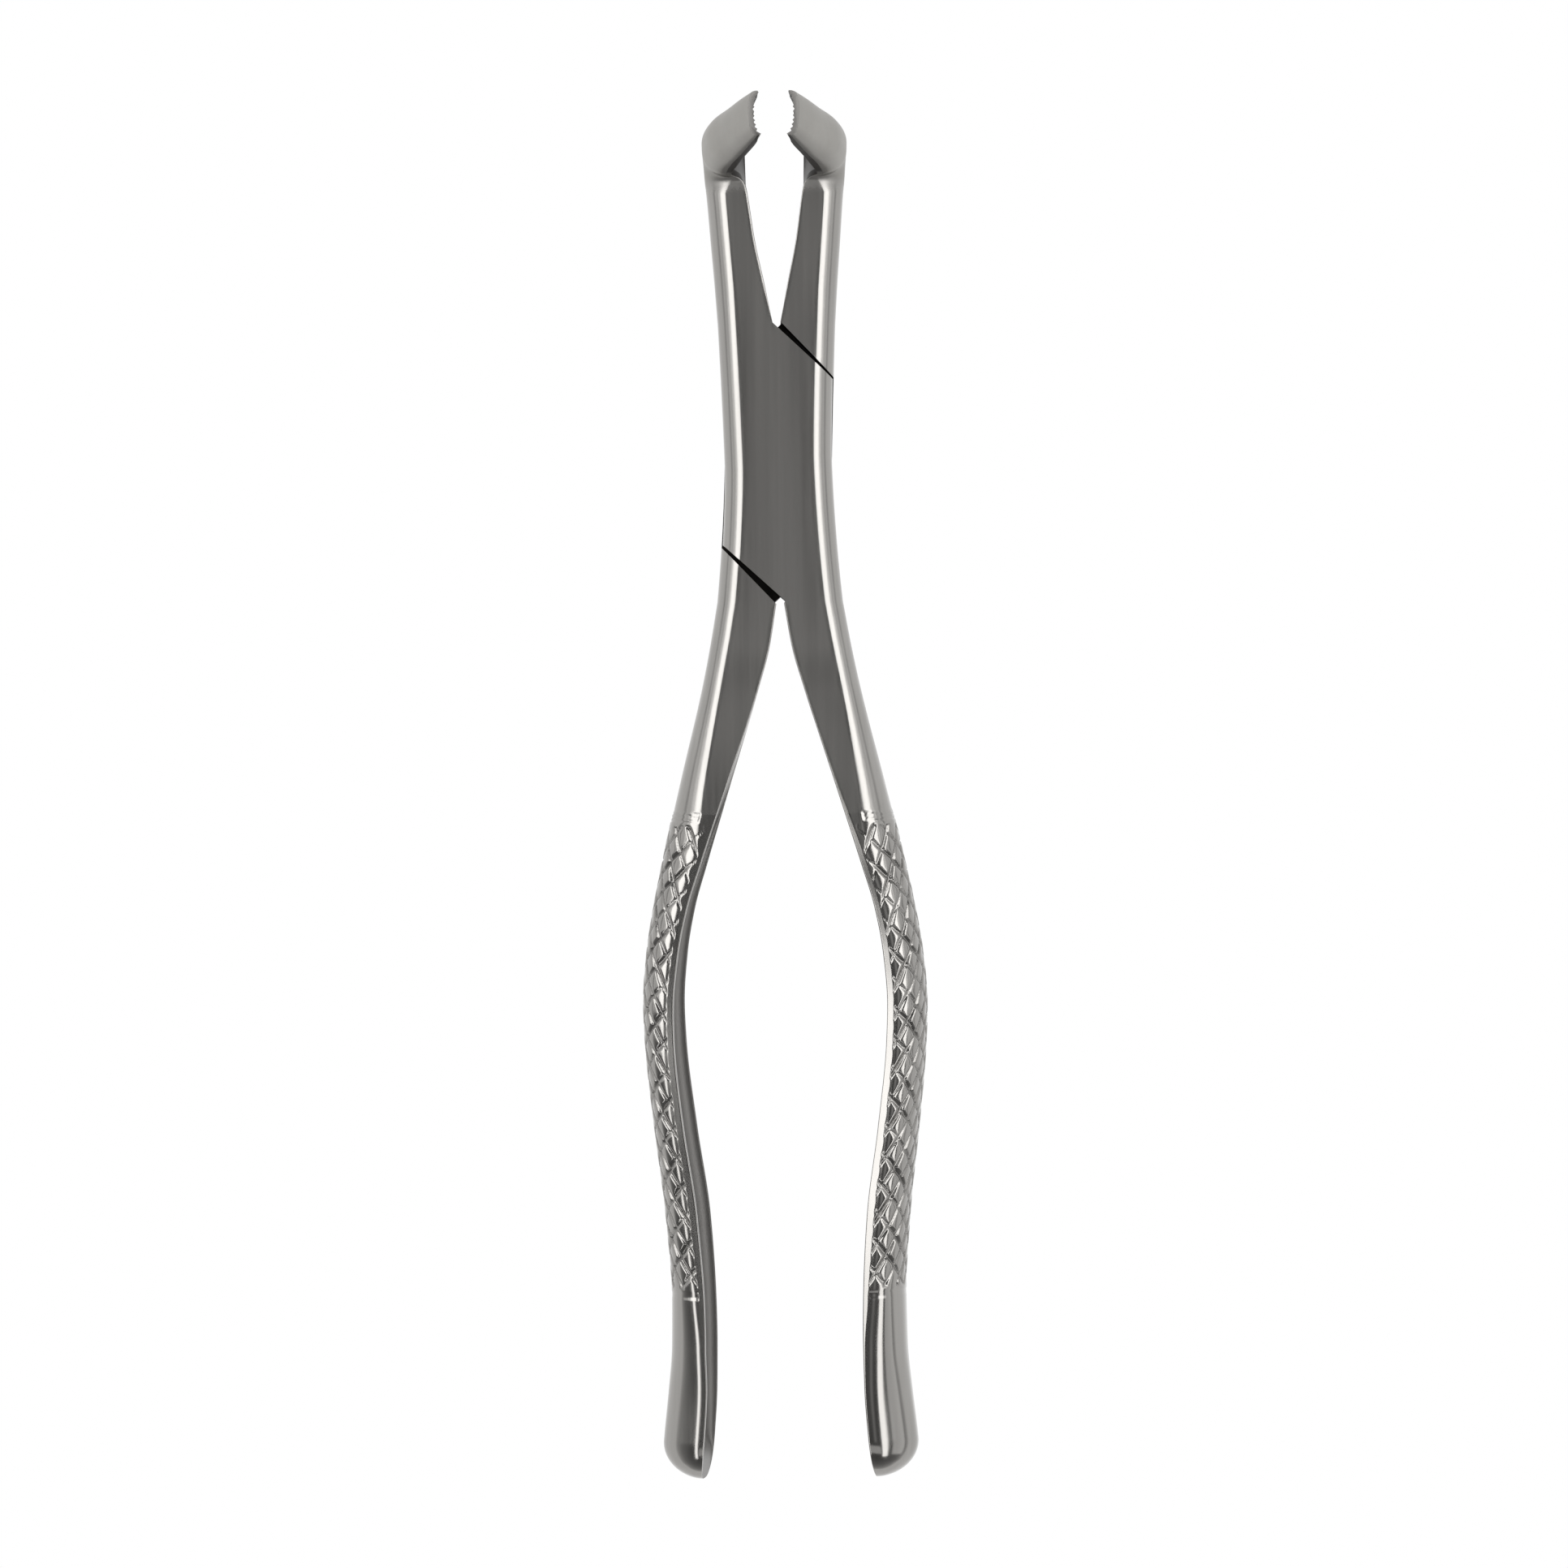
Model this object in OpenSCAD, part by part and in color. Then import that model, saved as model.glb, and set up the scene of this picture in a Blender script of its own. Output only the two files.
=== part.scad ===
// Lower extraction forceps: two forged halves crossing in a lap joint, turning on a slotted pivot screw.
// Frame: origin on the pivot axis at the joint's back face, +Y towards the beaks, +Z out of the front face.

/* [Overall] */
// From the pivot to the end of the handles
handle_length = 125; // [105:0.5:150]
// Half the width across the handles where they bow out most, with the beaks closed
handle_bow = 15.7; // [13.5:0.1:19]
// From the pivot to where the jaws start to bend up into the beaks
jaw_length = 34.2; // [28.5:0.1:41.1]
// Height of the beak tips over the joint's back face
beak_height = 21.2; // [18:0.1:26]
// How far the forceps stand open, as drawn
rest_opening = 3.2; // [0:0.1:20]

/* [Joint] */
// Thickness of the joint and the shanks
joint_thickness = 9; // [7.5:0.1:11]
// Width across the joint
joint_width = 13.2; // [11:0.1:15.9]
// From the pivot to each crotch, where the 45 degree shoulders start
crotch = 17.2; // [14:0.1:21]
// Gap between the two lapped faces
lap_gap = 0.05; // [0.02:0.01:0.1]
// Gap at the shoulders with the beaks closed
shoulder_gap = 0.12; // [0.05:0.01:0.3]

/* [Pivot screw] */
// Diameter of the screw's head
head_diameter = 7; // [6:0.1:8]
// Depth of the counterbore the head sits in
head_depth = 1.6; // [1.3:0.1:2]
// How far the head's face lies under the joint's back face
head_sunk = 0.15; // [0:0.05:0.4]
// Diameter of the plain bearing part
shank_diameter = 5; // [4.2:0.1:6.2]
// Diameter of the threaded end
thread_diameter = 4; // [3:0.1:4.2]
// Metal left over the end of the threaded hole
hole_cover = 1.2; // [0.8:0.1:1.5]
// Radial clearance of the bearing part in the rear half
bearing_clearance = 0.03; // [0.01:0.01:0.1]
// Radial clearance of the threaded end in the front half
thread_clearance = 0.02; // [0.01:0.01:0.05]
// Width of the screwdriver slot
slot_width = 1.1; // [0.8:0.1:1.4]

/* [Handles] */
// Depth of the handles from front to back
handle_depth = 10.6; // [8.8:0.1:12.8]
// Thickness of the rims on each side of the hollow
rim = 1.2; // [0.9:0.1:1.5]
// Depth of the hollow
hollow = 3; // [1:0.1:3.3]
// Length of the rounded end
end_round = 4.6; // [3:0.1:6]

/* [Beaks] */
// Gap between the beak tips when closed
tip_gap = 0.8; // [0.5:0.1:3]
// Metal at the middle of the beak tips
tip_wall = 0.8; // [0.6:0.05:1.2]
// Width of the beak tips from front to back
tip_width = 5.6; // [4.5:0.1:7]

/* [Hidden] */
$fn = 96;
mid = joint_thickness / 2;
half_open = rest_opening / 2;
half_width = joint_width / 2;
arc_steps = 4;
hollow_steps = 7;
ring_size = 2 * (arc_steps + 1) + hollow_steps + 3;

// ---- smooth curves through rows of sizes; the first entry of each row is the position ----
function span(t, x, i = 0) = i >= len(t) - 2 || x <= t[i + 1][0] ? i : span(t, x, i + 1);
function rise(t, i, k) = (t[i + 1][k] - t[i][k]) / (t[i + 1][0] - t[i][0]);
function slope(t, i, k) =
    i == 0 ? rise(t, 0, k)
    : i == len(t) - 1 ? rise(t, i - 1, k)
    : let(a = rise(t, i - 1, k), b = rise(t, i, k)) a * b <= 0 ? 0 : 2 * a * b / (a + b);
function curve(t, x, k) =
    let(i = span(t, x), h = t[i + 1][0] - t[i][0], s = (x - t[i][0]) / h)
    t[i][k] * (1 + 2 * s) * (1 - s) * (1 - s) + t[i + 1][k] * s * s * (3 - 2 * s)
    + h * slope(t, i, k) * s * (1 - s) * (1 - s) - h * slope(t, i + 1, k) * s * s * (1 - s);

// ---- one cross-section as [out, across] points: the rounded outer side, then the hollowed inner side ----
// out is measured away from the other half, across runs from the front (0) to the back (depth)
function section(outer, front_in, back_in, depth, round_out, round_across, scoop, land) = concat(
    [for (i = [0:arc_steps]) let(a = 90 * i / arc_steps)
        [outer - round_out * (1 - sin(a)), round_across * (1 - cos(a))]],
    [for (i = [0:arc_steps]) let(a = 90 * i / arc_steps)
        [outer - round_out * (1 - cos(a)), depth - round_across * (1 - sin(a))]],
    [[back_in, depth]],
    [for (i = [0:hollow_steps]) let(a = 180 * i / hollow_steps, k = (1 - cos(a)) / 2)
        [back_in + (front_in - back_in) * k + scoop * sin(a), depth - land - (depth - 2 * land) * k]],
    [[front_in, 0]]);

// ---- a solid through a list of rings; flip turns the faces over for mirrored lists ----
module loft(rings, flip) {
    n = ring_size;
    last = len(rings) - 1;
    outer = 2 * (arc_steps + 1);
    inner = n - outer;
    side = [for (i = [0:last - 1]) for (j = [0:n - 1]) let(k = (j + 1) % n)
        [i * n + j, (i + 1) * n + j, (i + 1) * n + k, i * n + k]];
    start = [for (j = [0:outer - 2]) [j, j + 1, n - 2 - j, n - 1 - j]];
    end = [for (q = start) [for (v = [3:-1:0]) last * n + q[v]]];
    faces = concat(side, start, end);
    polyhedron(
        points = [for (r = rings) for (p = r) p],
        faces = flip ? [for (q = faces) [for (v = [len(q) - 1:-1:0]) q[v]]] : faces,
        convexity = 8);
}

// ---- jaw: joint, shank, bend and beak of one half ----
// Along the jaw: step, tilt, front edge y and z, depth, outer, front inner, back inner, round out, round across, scoop, land
front_z = joint_thickness;
bend_z = front_z + 1.4;
rise_z = beak_height - bend_z;
tip_in = tip_gap / 2;
tip_scoop = 0.75;
JAW = [
    [0, 0, crotch, front_z, front_z, half_width + 0.15, 0, 0, 2.3, 3, 0, 1.2],
    [1, 0, crotch + 0.3 * (jaw_length - crotch), front_z, front_z, half_width + 0.35, 0.85, 0.85, 2.4, 3, 0, 1.2],
    [2, 0, crotch + 0.6 * (jaw_length - crotch), front_z, front_z, half_width + 0.6, 1.75, 1.75, 2.4, 3, 0, 1.2],
    [3, 0, jaw_length, front_z, front_z, half_width + 0.95, 2.6, 2.6, 2.4, 3, 0, 1.2],
    [4, 35, jaw_length + 0.8, front_z + 0.25, 0.93 * front_z, half_width + 1.1, 3.2, 2.55, 2.6, 3.4, 0.7, 1],
    [5, 70, jaw_length + 1.3, bend_z - 0.5, 0.82 * front_z, half_width + 1.2, 4.2, 2.3, 2.8, 3.3, 1.5, 0.8],
    [6, 73, jaw_length + 2.2, bend_z + 0.22 * rise_z, 6.9, half_width + 0.5, 3.3, 1.9, 2.8, 3.1, 1.8, 0.6],
    [7, 75, jaw_length + 3.1, bend_z + 0.47 * rise_z, 6.5, half_width - 1.1, 2.3, 1.4, 2.4, 2.9, 1.7, 0.5],
    [8, 78, jaw_length + 4, bend_z + 0.74 * rise_z, 6.1, half_width - 2.8, 1.2, 0.9, 1.8, 2.7, 1.2, 0.35],
    [9, 80, jaw_length + 4.9, beak_height, tip_width, tip_in + tip_scoop + tip_wall, tip_in, tip_in,
        1, tip_width / 2 - 0.3, tip_scoop, 0.2]];

function jaw_ring(s, side) =
    let(c = [for (k = [0:11]) curve(JAW, s, k)])
    [for (p = section(c[5], c[6], c[7], c[4], c[8], c[9], c[10], c[11]))
        [side * p[0], c[2] + p[1] * sin(c[1]), c[3] - p[1] * cos(c[1])]];

// the stretch inside the joint reaches a little past the middle, along the line of the shoulder
overlap = 3;
function joint_ring(y, side) =
    [for (p = section(joint_outer(y), -min(crotch - abs(y), overlap), -min(crotch - abs(y), overlap),
            joint_thickness, 2.3, 3, 0, 1.2))
        [side * p[0], y, joint_thickness - p[1]]];
function joint_outer(y) = half_width + (y > 0 ? 0.15 : 0.65) * pow(abs(y) / crotch, 2);
joint_ys = concat([-crotch, -crotch + overlap, -10, -5, 0, 5, 10, crotch - overlap]);

jaw_steps = concat([for (i = [0:9]) i / 3], [for (i = [1:10]) 3 + i / 5], [for (i = [1:16]) 5 + i / 4]);

module jaw(side) {
    rings = concat([for (y = joint_ys) joint_ring(y, side)], [for (s = jaw_steps) jaw_ring(s, side)]);
    loft(rings, side < 0);
}

// ---- handle of one half, running down from the joint ----
// Along the handle: part of the length, outer, inner, half depth, round out and round across as parts, scoop as part, turn
bow = handle_bow / 15.7;
deep = handle_depth / 2;
HANDLE = [
    [0, half_width + 0.65, 0, mid, 0.32, 0.66, 0, 0],
    [0.05, 8.05 * bow, 0.75 * bow, mid, 0.33, 0.67, 0, 0],
    [0.1, 9 * bow, 2.1 * bow, 0.8 * mid + 0.2 * deep, 0.36, 0.7, 0, 0],
    [0.2, 11.35 * bow, 5.1 * bow, 0.4 * mid + 0.6 * deep, 0.55, 0.8, 0.15, 2],
    [0.3, 13.65 * bow, 8.1 * bow, deep, 0.9, 0.92, 0.85, 4],
    [0.35, 14.7 * bow, 9.5 * bow, deep, 1, 0.94, 1, 5],
    [0.4, 15.4 * bow, 10.3 * bow, deep, 1, 0.94, 1, 6],
    [0.45, handle_bow, 10.6 * bow, deep, 1, 0.94, 1, 7],
    [0.5, 15.4 * bow, 10.3 * bow, deep, 1, 0.94, 1, 8],
    [0.6, 14.05 * bow, 8.8 * bow, deep, 1, 0.94, 1, 9],
    [0.7, 12.5 * bow, 7 * bow, deep, 1, 0.94, 1, 9],
    [0.8, 11.55 * bow, 6.1 * bow, deep, 1, 0.94, 1, 8],
    [0.85, 11.5 * bow, 5.9 * bow, deep, 1, 0.94, 1, 8],
    [0.9, 11.85 * bow, 5.85 * bow, deep, 1, 0.94, 0.95, 7],
    [0.95, 12.3 * bow, 6.05 * bow, deep, 1, 0.94, 0.75, 7],
    [0.98, 12.5 * bow, 6.3 * bow, deep, 1, 0.94, 0.1, 7],
    [1, 12.6 * bow, 6.6 * bow, deep, 1, 0.94, 0, 7]];

function handle_ring(f, side) =
    let(c = [for (k = [0:7]) curve(HANDLE, f, k)],
        d = crotch + f * (handle_length - crotch),
        e = min(max((d - handle_length + end_round) / end_round, 0), 0.985),
        k = sqrt(1 - e * e),
        half = c[3] * pow(k, 0.6),
        wide = (c[1] - c[2] - c[3] * sin(c[7])) / cos(c[7]) * k,
        turned = side * c[7],
        base = c[2] + c[3] * sin(c[7]))
    [for (p = section(wide, 0, 0, 2 * half, (wide - 0.3) * c[4], half * c[5], hollow * c[6], rim * k))
        let(q = half - p[1])
        [side * (base + p[0] * cos(turned) - q * sin(turned)), -d, mid + q * cos(turned) + p[0] * sin(turned)]];

handle_steps = concat([for (i = [0:46]) i / 48], [for (e = [0.3, 0.5, 0.68, 0.82, 0.92, 1])
    1 - (1 - e) * end_round / (handle_length - crotch)]);

module handle(side) {
    rings = concat(
        [for (y = [crotch - overlap, 10, 5, 0, -5, -10, -crotch + overlap])
            [for (p = section(joint_outer(y), -min(crotch - abs(y), overlap), -min(crotch - abs(y), overlap),
                joint_thickness, 2.3, 3, 0, 1.2)) [side * p[0], y, joint_thickness - p[1]]]],
        [for (f = handle_steps) handle_ring(f, side)]);
    loft(rings, side > 0);
}

// ---- lap joint ----
// the triangle in front of the 45 degree edge that belongs to the other half
module corner(side) {
    linear_extrude(height = joint_thickness)
        polygon([[0, crotch], [side * 14, crotch - 14], [side * 14, crotch + 4], [side * 4, crotch + 4]]);
}

// recess for the other half's plate
module recess(side) {
    rotate([0, 0, side * 45])
        cube([60, (crotch + shoulder_gap) * sqrt(2), joint_thickness], center = true);
}

module half(side) {
    // side -1: left jaw, front plate, right handle; side 1: right jaw, rear plate, left handle
    rotate([0, 0, -side * half_open])
    difference() {
        union() {
            jaw(side);
            handle(-side);
        }
        translate([0, 0, side < 0 ? mid : mid - joint_thickness]) {
            corner(-side);
            rotate([0, 0, 180]) corner(-side);
        }
        translate([0, 0, side < 0 ? mid + lap_gap / 2 - joint_thickness / 2 : mid - lap_gap / 2 + joint_thickness / 2])
            recess(-side);
    }
}

module front_half() {
    color([0.62, 0.62, 0.63])
    difference() {
        half(-1);
        translate([0, 0, mid - 1])
            cylinder(h = joint_thickness - hole_cover - mid + 1, r = thread_diameter / 2 + thread_clearance);
    }
}

module rear_half() {
    color([0.58, 0.58, 0.6])
    difference() {
        half(1);
        translate([0, 0, -1]) cylinder(h = joint_thickness, r = shank_diameter / 2 + bearing_clearance);
        translate([0, 0, -1]) cylinder(h = 1 + head_depth, r = head_diameter / 2 + 0.05);
    }
}

module pivot_screw() {
    color([0.7, 0.7, 0.72])
    difference() {
        union() {
            translate([0, 0, head_sunk]) cylinder(h = head_depth - 0.02 - head_sunk, r = head_diameter / 2);
            translate([0, 0, head_sunk + 0.5])
                cylinder(h = mid + lap_gap / 2 - head_sunk - 0.5, r = shank_diameter / 2);
            translate([0, 0, mid - 1])
                cylinder(h = joint_thickness - hole_cover - 0.3 - mid + 1, r = thread_diameter / 2);
        }
        translate([0, 0, head_sunk])
            cube([head_diameter + 2, slot_width, 1.6], center = true);
    }
}

front_half();
rear_half();
pivot_screw();
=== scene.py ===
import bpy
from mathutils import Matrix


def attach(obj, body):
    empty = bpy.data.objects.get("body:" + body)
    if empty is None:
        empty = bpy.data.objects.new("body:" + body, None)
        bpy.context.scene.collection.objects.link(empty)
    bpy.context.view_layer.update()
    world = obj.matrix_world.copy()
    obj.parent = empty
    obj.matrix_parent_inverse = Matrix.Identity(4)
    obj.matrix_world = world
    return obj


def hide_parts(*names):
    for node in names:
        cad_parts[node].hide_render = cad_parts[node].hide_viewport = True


bl_info = {
    "name": "Extraction Forceps",
    "version": (1, 0, 0),
    "blender": (4, 5, 0),
    "location": "3D View > Sidebar > Forceps",
    "description": "Lower extraction forceps: two forged halves, a lap joint, knurled handles and a slotted screw",
    "category": "Add Mesh",
}

import math

import bmesh
import bpy
import numpy as np
from bpy.props import FloatProperty, FloatVectorProperty, PointerProperty
from mathutils import Matrix

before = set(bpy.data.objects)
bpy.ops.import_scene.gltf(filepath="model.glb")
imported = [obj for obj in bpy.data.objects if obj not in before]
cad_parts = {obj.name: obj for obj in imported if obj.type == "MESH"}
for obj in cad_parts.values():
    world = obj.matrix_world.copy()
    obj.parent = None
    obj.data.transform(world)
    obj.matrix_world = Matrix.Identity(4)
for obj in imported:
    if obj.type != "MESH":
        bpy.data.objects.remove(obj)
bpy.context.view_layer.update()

MM = 0.001

# distances down the handle from the pivot, in millimetres
WELD_AT = 42.4                          # the plain upper handle meets the knurled lower handle
BUFFED_FROM = 43.2                      # the ground shank ends
DIE_BAND = (43.1, 44.3)                 # the die's edge pressed a shallow band in
KNURL_TOP, KNURL_BOTTOM = 44.6, 101.6   # the knurl starts and ends
KNURL_RINGS_END = 103.4                 # fine rings end, coarser ones go on

# fits and finishing, in millimetres
LAP_GAP = 0.025                         # each plate's face stands back from the lap's middle plane
SHOULDER_GAP = 0.12
BEARING_GAP, HEAD_GAP, THREAD_GAP = 0.03, 0.05, 0.02
THREAD_RADIUS, HOLE_COVER, COUNTERBORE = 2.0, 1.2, 1.6
SCREW_SHORT = 0.3                       # the screw ends this far short of its hole's bottom
SLOT_FLOOR = 0.95
CROWN, CROWN_HALF = 0.13, 4.3           # the crown's fall, reached this far from the middle line
CROWN_END, CROWN_FADE = 33, 21          # where it ends along y, and over what length it fades out
RAISED_ACROSS, RAISED_OUT = 0.13, 0.09  # left over the handles for the metal that the knurl pushes up

# rings of the loft over the joint and the upper handle, the spacing of the rings under the knurl in millimetres,
# and the sides of round holes and of the screw
JOINT_RINGS, HANDLE_RINGS, KNURL_STEP = 28, 36, 0.175
ROUND_SIDES = 96
SHARP = math.radians(30)                # edges sharper than this stay sharp

FLOOR_SIZE, FLOOR_Z = 4.0, -1.4 * MM    # the floor lies a little under the handles
CAMERA_DISTANCE, SENSOR = 0.9, 36
AIM = (0.7 * MM, -39.4 * MM)            # the middle of the view, across and along the leaning forceps
# brightness of the surroundings by height: pale at the floor, dark overhead, bright again round the camera
SKY = ((0.0, 0.76), (0.1, 0.52), (0.26, 0.32), (0.44, 0.21), (0.7, 0.12), (0.96, 0.09), (0.985, 0.12),
       (0.9935, 0.17), (0.9985, 0.56))


def hex_linear(code):
    """A colour written as sRGB hex, turned to the linear values that shaders use."""
    parts = [int(code[i:i + 2], 16) / 255 for i in (1, 3, 5)]
    return tuple(c / 12.92 if c <= 0.04045 else ((c + 0.055) / 1.055) ** 2.4 for c in parts)


def length(name, text, value, low, high):
    """A size in metres, shown in the scene's unit."""
    return FloatProperty(name=name, description=text, default=value * MM, min=low * MM, max=high * MM,
                         precision=5, unit="LENGTH")


def paint(name, text, code):
    """A colour shown with a picker."""
    return FloatVectorProperty(name=name, description=text, default=hex_linear(code), size=3,
                               min=0, max=1, subtype="COLOR")


class ForcepsSizes(bpy.types.PropertyGroup):
    """Sizes of the forged halves and the screw"""
    handle_length: length("Handle Length", "From the pivot to the end of the handles", 125, 105, 150)
    handle_bow: length("Handle Bow", "Half the width across the bowed handles, beaks closed", 15.7, 13.5, 19)
    handle_depth: length("Handle Depth", "Depth of the handles from front to back", 10.6, 8.8, 12.8)
    hollow: length("Hollow", "Depth of the hollow on the inner side of the handles", 3, 1, 3.3)
    rim: length("Rim", "Thickness of the rims beside the hollow", 1.2, 0.9, 1.5)
    end_round: length("End Round", "Length of the rounded end of the handles", 4.6, 3, 6)
    jaw_length: length("Jaw Length", "From the pivot to where the beaks bend up", 34.2, 28.5, 41.1)
    beak_height: length("Beak Height", "Height of the beak tips over the joint's back", 21.2, 18, 26)
    rest_opening: FloatProperty(name="Rest Opening", description="How far the forceps stand open",
                                default=math.radians(3.2), min=0, max=math.radians(20), subtype="ANGLE")
    joint_thickness: length("Joint Thickness", "Thickness of the joint and the shanks", 9, 7.5, 11)
    joint_width: length("Joint Width", "Width across the joint", 13.2, 11, 15.9)
    crotch: length("Crotch", "From the pivot to each crotch", 17.2, 14, 21)
    tip_gap: length("Tip Gap", "Gap between the closed beak tips", 0.8, 0.5, 3)
    tip_wall: length("Tip Wall", "Metal at the middle of the beak tips", 0.8, 0.6, 1.2)
    tip_width: length("Tip Width", "Width of the beak tips", 5.6, 4.5, 7)
    tooth_pitch: length("Tooth Pitch", "Spacing of the fine teeth inside the beak tips", 0.55, 0.3, 1)
    knurl_pitch: length("Knurl Pitch", "Height of one knurl diamond along the handle", 3.55, 2, 6)
    knurl_depth: length("Knurl Depth", "Depth of the knurl's grooves", 0.38, 0.05, 0.6)
    edge_break: length("Edge Break", "Rounding along the forged edges", 0.12, 0.02, 0.4)
    head_diameter: length("Screw Head", "Diameter of the screw's head", 7, 6, 8)
    shank_diameter: length("Screw Shank", "Diameter of the screw's bearing part", 5, 4.2, 6.2)
    slot_width: length("Screw Slot", "Width of the screwdriver slot", 1.1, 0.8, 1.4)


class ForcepsFinish(bpy.types.PropertyGroup):
    """Colours and polish of the steel"""
    ground: paint("Ground Steel", "Colour of the ground joint and shanks", "#9E9C99")
    buffed: paint("Buffed Steel", "Colour of the buffed handles", "#9B9996")
    blasted: paint("Blasted Steel", "Colour of the bead-blasted beaks", "#A19F9B")
    # colour of the painted shade in the grooves, the hollows and the throat, and of the painted shadow in the lap's
    # seams
    painted_shade: paint("Groove", "Colour at the bottom of the grooves, in the hollows and in the throat", "#363432")
    turned: paint("Turned Steel", "Colour of the screw", "#A9A7A4")
    floor: paint("Floor", "Colour of the floor", "#FFFFFF")


class ForcepsStudio(bpy.types.PropertyGroup):
    """Camera and lights"""
    view_width: length("View Width", "Width that the camera takes in at the joint's front", 193.2, 100, 400)
    lean: FloatProperty(name="Lean", description="How far the forceps lean to the left in the view",
                        default=math.radians(0.76), min=-0.2, max=0.2, subtype="ANGLE")
    box_height: FloatProperty(name="Light Height", description="Height of the soft boxes overhead",
                              default=0.6, min=0.3, max=2, unit="LENGTH")
    box_power: FloatProperty(name="Light Power", description="Watts for each square metre of the soft boxes",
                             default=9.6, min=0, max=100)


# ---- shapes in millimetres: one half closed, before it is turned open ----

def smooth_rows(rows):
    """Reads every column of a table of sizes at any position, on curves that never overshoot the rows."""
    rows = np.array(rows, float)
    at, table = rows[:, 0], rows[:, 1:]
    rise = np.diff(table, axis=0) / np.diff(at)[:, None]
    before, after = rise[:-1], rise[1:]
    total = np.where(before * after > 0, before + after, 1)
    slope = np.vstack([rise[:1], np.where(before * after > 0, 2 * before * after / total, 0), rise[-1:]])

    def read(x):
        i = int(np.clip(np.searchsorted(at, x) - 1, 0, len(at) - 2))
        h = at[i + 1] - at[i]
        s = (x - at[i]) / h
        return (table[i] * (1 + 2 * s) * (1 - s) ** 2 + table[i + 1] * s * s * (3 - 2 * s)
                + h * slope[i] * s * (1 - s) ** 2 - h * slope[i + 1] * s * s * (1 - s))
    return read


def ease(x):
    """0 below 0, 1 above 1, smooth between."""
    x = np.clip(x, 0, 1)
    return x * x * (3 - 2 * x)


# points round a section: each outer quarter, each flat, each inner corner and the inner side
ARC, FLAT, CORNER, INNER = 38, 8, 4, 68
SIDE = 2 * ARC + 2 * FLAT
RING = 2 * SIDE
FLAT_SHARE = 0.85
CREASE = math.radians(8)        # the line where a flat meets the rounded side
SLOW_TURN = math.radians(24)    # how far the rounded side has turned where it starts to turn quickly


def quarter(out, across, crease):
    """From a flat's edge round to the outermost line, evenly spaced: a slow turn first, then a quicker one."""
    slow = min(0.36 * out, 1.5)
    radius = slow / (math.sin(SLOW_TURN) - math.sin(crease))
    fall = radius * (math.cos(crease) - math.cos(SLOW_TURN))
    lean = math.tan(SLOW_TURN) * (out - slow) / (across - fall)
    start = math.asin(lean / (1 - lean))
    first, rest = np.linspace(crease, SLOW_TURN, 80), np.linspace(start, math.pi / 2, 160)[1:]
    x = np.concatenate([radius * (np.sin(first) - math.sin(crease)),
                        slow + (out - slow) * (np.sin(rest) - math.sin(start)) / (1 - math.sin(start))])
    y = np.concatenate([radius * (math.cos(crease) - np.cos(first)),
                        fall + (across - fall) * (math.cos(start) - np.cos(rest)) / math.cos(start)])
    run = np.concatenate([[0], np.cumsum(np.hypot(np.diff(x), np.diff(y)))])
    even = np.linspace(0, run[-1], ARC)
    return np.interp(even, run, x), np.interp(even, run, y)


def outer_side(outer, start, depth, round_out, round_across, crease=CREASE):
    """The outer part of a cross-section, from the front face round the outside to the back face."""
    x, y = quarter(round_out, round_across, crease)
    edge = outer - round_out
    flat = start + (edge - start) * np.arange(FLAT) / FLAT
    level = np.zeros(FLAT)
    return (np.concatenate([flat, edge + x, edge + x[::-1], flat[::-1]]),
            np.concatenate([level, y, depth - y[::-1], depth + level]))


def section(outer, front_in, back_in, depth, round_out, round_across, scoop, land, edge, bevel, fall, crease=CREASE):
    """One cross-section as out and across: the outer side, then from the back face over the inner side to the front.
    A bevel that falls away along each inner edge leads into a small rounding. The inner side is hollowed by the
    scoop between two lands."""
    drop = fall * bevel
    flat_edge = outer - round_out
    # the flat's first points, counted from its outer edge, span most of it, and the others the rest
    middle = flat_edge - FLAT_SHARE * max(flat_edge - max(front_in, back_in) - edge - bevel, 0)
    out, across = outer_side(outer, middle, depth, round_out, round_across, crease)
    t = np.linspace(0, 1, FLAT)
    turn = np.linspace(0, math.pi / 2, CORNER + 1)[1:]
    a = np.linspace(0, math.pi, INNER)
    k = (1 - np.cos(a)) / 2
    room = drop + max(land, edge * 1.2)
    back, front = back_in + edge, front_in + edge
    back_start, front_start = min(back + bevel, middle), min(front + bevel, middle)
    inner_out = np.concatenate([
        back_start + (back - back_start) * t,
        back_in + edge * (1 - np.sin(turn)),
        back_in + (front_in - back_in) * k + scoop * np.sin(a),
        front_in + edge * (1 - np.sin(turn[::-1])),
        front + (front_start - front) * t])
    inner_across = np.concatenate([
        depth - drop * t,
        depth - drop - edge * (1 - np.cos(turn)),
        depth - room + (2 * room - depth) * k,
        drop + edge * (1 - np.cos(turn[::-1])),
        drop * (1 - t)])
    return np.concatenate([out, inner_out]), np.concatenate([across, inner_across])


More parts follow.
